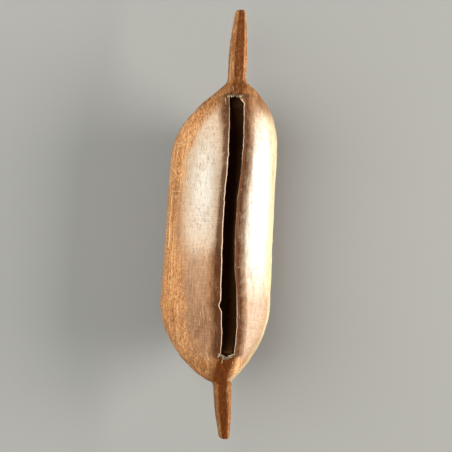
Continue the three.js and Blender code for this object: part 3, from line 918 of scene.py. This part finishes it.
def wood_material(colours):
    """Old oiled wood: polished lobes with fine streaks and pores along Y, a rougher speckled border, pale
    warm wood round the sheen as painted highlight, painted light down the right side, painted shade in the
    valleys and on the slit's walls, darker ends and belly, dirt and painted shade in the grooves, pale lip tops
    from wear and painted highlight, splintered slit ends and dark handle tops.
    The polish is a coat whose weight the wear and the pores break up, and the rest fades into a shader with
    hardly any gloss."""
    material = bpy.data.materials.new("carved_wood")
    tree = Tree(material)
    lip, groove, raw, inside, handle, polish, sheen, shade_and_darkening, painted_light, worn_and_highlit, wall = (
        tree.attribute(name) for name in FINISHES
    )

    broad, patches, grain, streaks, hatch, pores, speckle, chop, fibres, worked = (
        tree.noise(*pattern) for pattern in PATTERNS.values()
    )
    strokes = (worked - 0.5).size().step(0.05, 0) * chop.step(0.46, 0.6)

    edge = (polish + 1.8 * (patches - 0.5) + 1.2 * (chop - 0.5)).step(-0.1, 1.1)
    lobe = tree.mixed(((streaks - 0.5) * 3 + 0.5).step(0, 1), colours.lobe_dark, colours.lobe)
    lobe = tree.mixed(broad.step(0.4, 0.7) * 0.3, lobe, colours.flank)
    lobe = tree.mixed(hatch.step(0.52, 0.66) * 0.15, lobe, colours.pale)
    # Painted highlight, partly rubbing: pale warm wood where the sheen is weak widens the highlight's edge
    lobe = tree.mixed(sheen.step(0, 0.27) * (0.72 + 0.7 * (hatch - 0.5)), lobe, colours.rubbed_and_highlit)
    lobe = tree.mixed(sheen.step(0.15, 0.75) * 0.75, lobe, colours.polished)
    mottle = (speckle - 0.5) * 4 + (grain - 0.5) * 2.2 + (chop - 0.5) * 1.8 + 0.62
    flank = tree.mixed(mottle.step(0, 1), colours.flank_dark, colours.flank)
    flank = tree.mixed(broad.step(0.5, 0.36) * 0.4, flank, colours.flank_dark)
    flank = tree.mixed(grain.step(0.54, 0.64) * 0.3, flank, colours.pale)
    flank = tree.mixed(strokes * 0.45, flank, colours.pale)
    wood = tree.mixed(edge, flank, lobe)
    # Painted light: the right side turns pale yellow where the strong light from the right falls
    painted_light_patchy = (painted_light * (1 + 2.2 * (patches - 0.5) + 2 * (chop - 0.5))).step(0, 1)
    wood = tree.mixed(painted_light_patchy, wood, colours.painted_light_colour)
    pore = pores.step(0.42, 0.34)
    wood = tree.mixed(pore * 0.26, wood, colours.pore)
    # Painted shade in the valleys and the hollow's head end, and darker towards the ends, the necks and the
    # belly
    shaded_and_dark = (shade_and_darkening * (1 + 1.8 * (patches - 0.5) + 1.8 * (fibres - 0.5))).step(0, 1)
    wood = tree.mixed(shaded_and_dark * 0.88, wood, colours.shade_and_darkening)
    on_top = (handle + 1.3 * (chop - 0.5) + 1.1 * (fibres - 0.5)).step(0.1, 0.9) * handle.step(0.02, 0.3)
    top = tree.mixed(fibres.step(0.42, 0.7), colours.handle, colours.handle_light)
    wood = tree.mixed(on_top * 0.98, wood, top)
    # Dirt and painted shade beside the lips, reaching out over the groove's slope
    grime_and_shade = (groove * (1 + 1.8 * (patches - 0.5) + 2 * (speckle - 0.5) + 1.6 * (fibres - 0.5))).step(0, 0.9)
    wood = tree.mixed(grime_and_shade * 0.9, wood, colours.groove)
    # Pale lip tops from wear and partly painted highlight
    wood = tree.mixed((lip * (1.1 + 2 * (speckle - 0.5))).step(0.25, 0.85), wood, colours.rim)
    # Pale edges from wear and painted highlight along the left ridge and the handles' bevels and sides
    rubbed_and_highlit = (worn_and_highlit * (1 + 1.4 * (chop - 0.5) + 1.4 * (fibres - 0.5))).step(0.25, 0.9)
    wood = tree.mixed(rubbed_and_highlit * 0.75, wood, colours.pale)
    scored = tree.marks(PALE_MARKS) * chop.step(0.34, 0.52)
    wood = tree.mixed(scored * 0.38, wood, colours.pale)
    # Dark marks, some of them painted shade
    wood = tree.mixed(tree.marks(DARK_MARKS) * 0.5, wood, colours.raw_dark)
    # The hollow's wood, darkened with painted shade towards the slit's head end, and the slit's walls painted
    # near black as shade
    chamber = tree.mixed(shade_and_darkening * 0.75, colours.hollow, colours.wall)
    wood = tree.mixed(inside, wood, tree.mixed(wall, chamber, colours.wall))
    torn = (raw * (0.8 + 2.6 * (fibres - 0.5) + 1.8 * (chop - 0.5))).step(0.42, 0.8)
    splintered = tree.mixed(streaks.step(0.4, 0.6), colours.raw_dark, colours.raw)
    wood = tree.mixed(raw * 0.7, wood, colours.raw_dark)
    wood = tree.mixed(torn, wood, splintered)

    dull = (grime_and_shade + on_top + inside + torn + shaded_and_dark * 0.7).step(0, 1.1)
    rough = 0.46 + 0.2 * dull + 0.25 * (patches - 0.5)
    broken = 1.05 + 1.6 * (patches - 0.5) + 2.4 * (streaks - 0.5)
    broken = broken + 0.9 * (speckle - 0.5) + 0.9 * (hatch - 0.5)
    shine = (broken - 0.3 * pore).step(0, 1.4) * (1 - dull) * sheen
    height = streaks * 0.55 - pore * 0.9 + speckle * (0.25 + 1.2 * (1 - sheen))
    height = height + chop * (1 - sheen) + torn * 2 - scored
    bump = tree.node("ShaderNodeBump", {}, {"Strength": 0.5, "Distance": 0.0008, "Height": height})
    normal = bump.value("Normal")
    glossy = tree.node("ShaderNodeBsdfPrincipled", {}, {
        "Base Color": wood,
        "Roughness": rough,
        "IOR": 1.4,
        "Coat Weight": shine,
        "Coat Roughness": 0.36,
        "Coat IOR": 2.2,
        "Normal": normal,
    })
    matte = tree.node("ShaderNodeBsdfPrincipled", {}, {
        "Base Color": wood,
        "Roughness": 0.85,
        "Specular IOR Level": 0.05,
        "Normal": normal,
    })
    fade = (dull + 0.6 * (1 - sheen)).step(0, 1)
    mixed = tree.node("ShaderNodeMixShader", {}, {
        0: fade,
        1: glossy.value("BSDF"),
        2: matte.value("BSDF"),
    })
    tree.node("ShaderNodeOutputMaterial", {}, {"Surface": mixed.value("Shader")})
    return material


def finish_values(form, places, notes):
    """Per-vertex finish values between 0 and 1: lip tops pale from wear and painted highlight, the dirt and
    painted shade beside them, splintered ends, the inside, the slit walls painted near black as shade, the dark
    tops of the handles and of the necks that lead to them, the polish of the lobes inside a border along the
    outline, their sheen, painted light down the right side, pale edges from wear and painted highlight, and
    the drum's darker ends and belly with painted shade in its valleys and in the slit's head end."""
    count = notes["out"].size
    values = {name: np.zeros(len(places)) for name in FINISHES}
    out, across, half, up, body, shift = (
        notes[key].ravel() for key in ("out", "across", "half", "up", "body", "shift")
    )
    # The form's own distance along the drum, which the frame's is offset from
    offset = (form.head_tip + form.foot_tip) / 2
    along = places[:count, 1] + offset
    lips = form.lips(along)
    on_outer = np.stack([across, along, places[:count, 2]], -1)
    past_end = np.maximum(along - form.slit_head, form.slit_foot - along)
    left = across < 0
    worn_and_highlit = np.where(left, 1.1 * MM, 0.8 * MM)
    bright = np.where(left, curve_through(LEFT_LIP, along), curve_through(RIGHT_LIP, along))
    values["lip"][:count] = (1 - ease((out - worn_and_highlit) / (0.8 * MM))) * lips * bright
    # Dirt and painted shade beside the lips
    reach = np.where(left, curve_through(LEFT_GRIME_AND_SHADE, along), 16 * MM)
    reddened = ease((out - 0.8 * worn_and_highlit) / (1 * MM)) * (1 - ease((out - 3 * MM) / (reach - 3 * MM)))
    values["groove"][:count] = reddened * (1 - ease((past_end - 3 * MM) / (9 * MM)))

    # Pale edges from wear and painted highlight: the handles' bevels and sides, brightest on the right at the
    # foot end, and the left ridge
    edges = np.exp(-(((np.abs(across) / half - 0.57) / 0.07) ** 2)) * (up > 0.3) * (1 - body)
    sides = np.exp(-(((np.abs(across) / half - 0.97) / 0.04) ** 2)) * (1 - body)
    handled = np.where(along > 0, 0.35, np.where(left, 0.1, 0.45)) * np.maximum(edges, sides)
    values["worn_and_highlit"][:count] = np.maximum(left_ridge(on_outer, across) * 0.9, handled)
    facet_edge = np.where(along > 0, (np.abs(across) / half - 0.48) / 0.2, (across / half - 0.1) / 0.7)
    facet_edge = np.where((along < 0) & left, (-across / half - 0.45) / 0.35, facet_edge)
    facet = (1 - ease(facet_edge)) * ease((up - 0.5) / 0.2)
    to_handle = ease(past_end / (34 * MM))
    off_middle = np.abs(across - mix(form.slit_edge(0, along) - shift, 0, to_handle))
    neck = (1 - ease((off_middle - 7 * MM) / mix(19 * MM, 11 * MM, to_handle))) * (up > 0)
    top = mix(facet, neck * ease(past_end / (5 * MM) + 0.6), body)
    values["handle"][:count] = top * np.where(along > 0, 0.72, 1)

    inset = half - np.abs(across)
    right = ease(across / half / 0.6 + 0.5)
    border = curve_through(BORDER, along) * mix(1, 0.2, right)
    values["polish"][:count] = (
        ease((inset - border) / (22 * MM) + 0.5)
        * (1 - ease((past_end + 6 * MM) / (24 * MM)))
        * ease((up - 0.15) / 0.3)
    )
    shine = mix(curve_through(LEFT_SHEEN, along), curve_through(RIGHT_SHEEN, along), right)
    shine = shine * mix(0.6, 1, ease((out - 10 * MM) / (14 * MM)))
    from_left, from_right = ease((inset - 2 * MM) / (36 * MM)), ease((inset - 5 * MM) / (20 * MM))
    values["sheen"][:count] = shine * mix(from_left, from_right, right)
    # Painted light down the right side, near its outline and above the widest line
    pale_reach = mix(23 * MM, 40 * MM, ease((along + 0.12) / 0.08))
    over_edge = ease((pale_reach - inset) / (14 * MM)) * ease((up + 0.16) / 0.33)
    values["painted_light"][:count] = right * curve_through(RIGHT_PAINTED_LIGHT, along) * over_edge * body
    # Painted shade in the valleys beside the lips
    in_valley = np.where(left, np.maximum(ease(-along / 0.05), 0.8 * ease((along - 0.13) / 0.07)), 0.9)
    valley = (1 - ease((out - 6 * MM) / (30 * MM))) * in_valley
    near_handle = mix(1, 0.8, right) * (1 - ease((off_middle - 11 * MM) / (mix(28, 16, right) * MM)))
    on_body = np.where(along > 0, 0.65, np.maximum(mix(0.5, 0.15, right), near_handle))
    on_handle = np.where(along > 0, 0.5, mix(0.9, 0.6, right))
    # Darker towards both ends and the necks, and over the left side towards the foot end
    ends = ease((np.abs(along) - 0.17) / 0.05) * mix(on_handle, on_body, body)
    on_border = mix(0.75, 1, values["polish"][:count])
    ends = np.maximum(ends, 0.4 * ease((-0.01 - along) / 0.17) * (1 - right) * on_border)
    # Darker towards the belly
    belly = 0.6 * ease((mix(-0.25, 0.1, right) - up) / 0.4)
    values["shade_and_darkening"][:count] = np.maximum(valley * lips * 0.8, np.maximum(ends, belly))

    in_strip = 1 - ease((out - np.where(left, 3 * MM, 1 * MM)) / (3 * MM))
    slit_left, slit_right = form.slit_edge(-1, along), form.slit_edge(1, along)
    in_width = (across + shift - slit_left) / (slit_right - slit_left)
    past_break = past_end - np.where(along < 0, curve_through(FOOT_BREAK, in_width), 0)
    reach = np.where(along < 0, 2.4 * MM, 1.7 * MM)
    ragged = np.where(along > 0, 1.3, 0.8) * MM * ripple(np.stack([across, along], -1), 7 * MM, 71)
    values["raw"][:count] = in_strip * (1 - ease((np.abs(past_break + ragged - reach) - reach) / (2 * MM)))
    values["inside"][notes["hollow_start"] :] = 1
    # Painted shade darkens the hollow near the slit's head end
    depth_in = form.slit_head - (places[notes["hollow_start"] :, 1] + offset)
    values["shade_and_darkening"][notes["hollow_start"] :] = 1 - ease((depth_in - 12 * MM) / (20 * MM))
    # The slit's walls are painted near black as shade
    values["wall"][notes["rim_start"] + notes["ring"] : notes["rim_start"] + RIM_LOOPS * notes["ring"]] = 1
    for loop in range(3):
        start = notes["rim_start"] + loop * notes["ring"]
        span = slice(start, start + notes["ring"])
        at = places[span, 1] + offset
        at_left = places[span, 0] < form.slit_edge(0, at)
        bright = np.where(at_left, curve_through(LEFT_LIP, at), curve_through(RIGHT_LIP, at))
        values["inside"][span] = 0.5 * loop
        # The lip's inner rounding is pale from wear and partly painted highlight
        values["lip"][span] = 0.6 * bright
        # The right lip's inner corner takes the groove colour as painted shade
        values["groove"][span] = np.where(at_left, 0, 1)
    values["lip"] *= 1 - values["raw"]
    return values


class SLITDRUM_OT_drum(Operator):
    """Carve the drum's body, slit, lips and handles as one piece"""

    bl_idname = "slitdrum.drum"
    bl_label = "Carve drum"

    def execute(self, context):
        form = Form(context.scene.slit_drum_sizes)
        places, quads, triangles, notes = drum_mesh(form)
        places = fitted(places)
        values = finish_values(form, places, notes)
        places, values, quads, triangles = without_unused(places, values, quads, triangles)
        drum = mesh_object("drum", places, quads, triangles)
        for name, value in values.items():
            put_attribute(drum.data, name, value)
        drum.data.materials.append(wood_material(context.scene.slit_drum_colours))
        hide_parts(NODE)
        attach(drum, "root")
        return {"FINISHED"}


def camera_axes():
    """The camera's right, up and back directions: straight above, tilted to the left about Y, then rolled."""
    right = Vector((math.cos(CAMERA_TILT), 0, math.sin(CAMERA_TILT)))
    along = Vector((0, 1, 0))
    back = Vector((-math.sin(CAMERA_TILT), 0, math.cos(CAMERA_TILT)))
    c, s = math.cos(CAMERA_ROLL), math.sin(CAMERA_ROLL)
    return right * c + along * s, along * c - right * s, back


def area_light(name, place, aim, size, power, tint):
    """A soft rectangular light at place that faces aim."""
    data = bpy.data.lights.new(name, "AREA")
    data.shape = "RECTANGLE"
    data.size, data.size_y = size
    data.energy = power
    data.color = tint
    light = bpy.data.objects.new(name, data)
    bpy.context.scene.collection.objects.link(light)
    back = (Vector(place) - Vector(aim)).normalized()
    along = Vector((0, 1, 0))
    right = along.cross(back).normalized()
    up = back.cross(right)
    light.matrix_world = Matrix.Translation(place) @ Matrix((right, up, back)).transposed().to_4x4()
    light.visible_camera = False


class SLITDRUM_OT_stage(Operator):
    """Lay the pale floor and set the lights and the camera"""

    bl_idname = "slitdrum.stage"
    bl_label = "Set stage"

    def execute(self, context):
        mesh = bpy.data.meshes.new("floor")
        corners = [(x * FLOOR_REACH, y * FLOOR_REACH, 0) for x, y in ((-1, -1), (1, -1), (1, 1), (-1, 1))]
        mesh.from_pydata(corners, [], [(0, 1, 2, 3)])
        floor = bpy.data.objects.new("floor", mesh)
        context.scene.collection.objects.link(floor)
        paint = bpy.data.materials.new("floor")
        tree = Tree(paint)
        sockets = {"Base Color": FLOOR_COLOUR, "Roughness": FLOOR_ROUGHNESS}
        shader = tree.node("ShaderNodeBsdfPrincipled", {}, sockets)
        tree.node("ShaderNodeOutputMaterial", {}, {"Surface": shader.value("BSDF")})
        mesh.materials.append(paint)
        floor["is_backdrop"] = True

        for name, place, size, power, tint in LIGHTS:
            area_light(name, place, LIGHTS_AIM, size, power, tint)
        world = bpy.data.worlds.new("studio")
        world.use_nodes = True
        backdrop = world.node_tree.nodes["Background"]
        backdrop.inputs["Color"].default_value = STUDIO_TINT
        backdrop.inputs["Strength"].default_value = STUDIO_STRENGTH
        context.scene.world = world
        context.scene.view_settings.view_transform = "Standard"

        right, up, back = camera_axes()
        metres = float(CAD_SIZE[1]) / DRUM_PIXELS
        off = (DRUM_MIDDLE[0] - FRAME_PIXELS / 2, FRAME_PIXELS / 2 - DRUM_MIDDLE[1])
        target = Vector((0, 0, HANDLE_HEIGHT)) - right * off[0] * metres - up * off[1] * metres
        data = bpy.data.cameras.new("camera")
        data.sensor_width = SENSOR * 1000
        data.lens = SENSOR * 1000 * CAMERA_DISTANCE / (metres * FRAME_PIXELS)
        data.clip_end = CLIP_END
        camera = bpy.data.objects.new("camera", data)
        context.scene.collection.objects.link(camera)
        turn = Matrix((right, up, back)).transposed().to_4x4()
        camera.matrix_world = Matrix.Translation(target + back * CAMERA_DISTANCE) @ turn
        context.scene.camera = camera
        return {"FINISHED"}


class VIEW3D_PT_slit_drum(Panel):
    """The drum's sizes, colours and steps"""

    bl_idname = "VIEW3D_PT_slit_drum"
    bl_label = "Slit drum"
    bl_space_type = "VIEW_3D"
    bl_region_type = "UI"
    bl_category = "Slit drum"

    def draw(self, context):
        for operator in (SLITDRUM_OT_drum, SLITDRUM_OT_stage):
            self.layout.operator(operator.bl_idname)
        for group in (context.scene.slit_drum_sizes, context.scene.slit_drum_colours):
            for name in group.__annotations__:
                self.layout.prop(group, name)


CLASSES = (DrumSizes, WoodColours, SLITDRUM_OT_drum, SLITDRUM_OT_stage, VIEW3D_PT_slit_drum)


def register():
    for cls in CLASSES:
        bpy.utils.register_class(cls)
    bpy.types.Scene.slit_drum_sizes = PointerProperty(type=DrumSizes)
    bpy.types.Scene.slit_drum_colours = PointerProperty(type=WoodColours)


def unregister():
    del bpy.types.Scene.slit_drum_colours
    del bpy.types.Scene.slit_drum_sizes
    for cls in reversed(CLASSES):
        bpy.utils.unregister_class(cls)


def main():
    register()
    bpy.ops.slitdrum.drum()
    bpy.ops.slitdrum.stage()


if __name__ == "__main__":
    main()
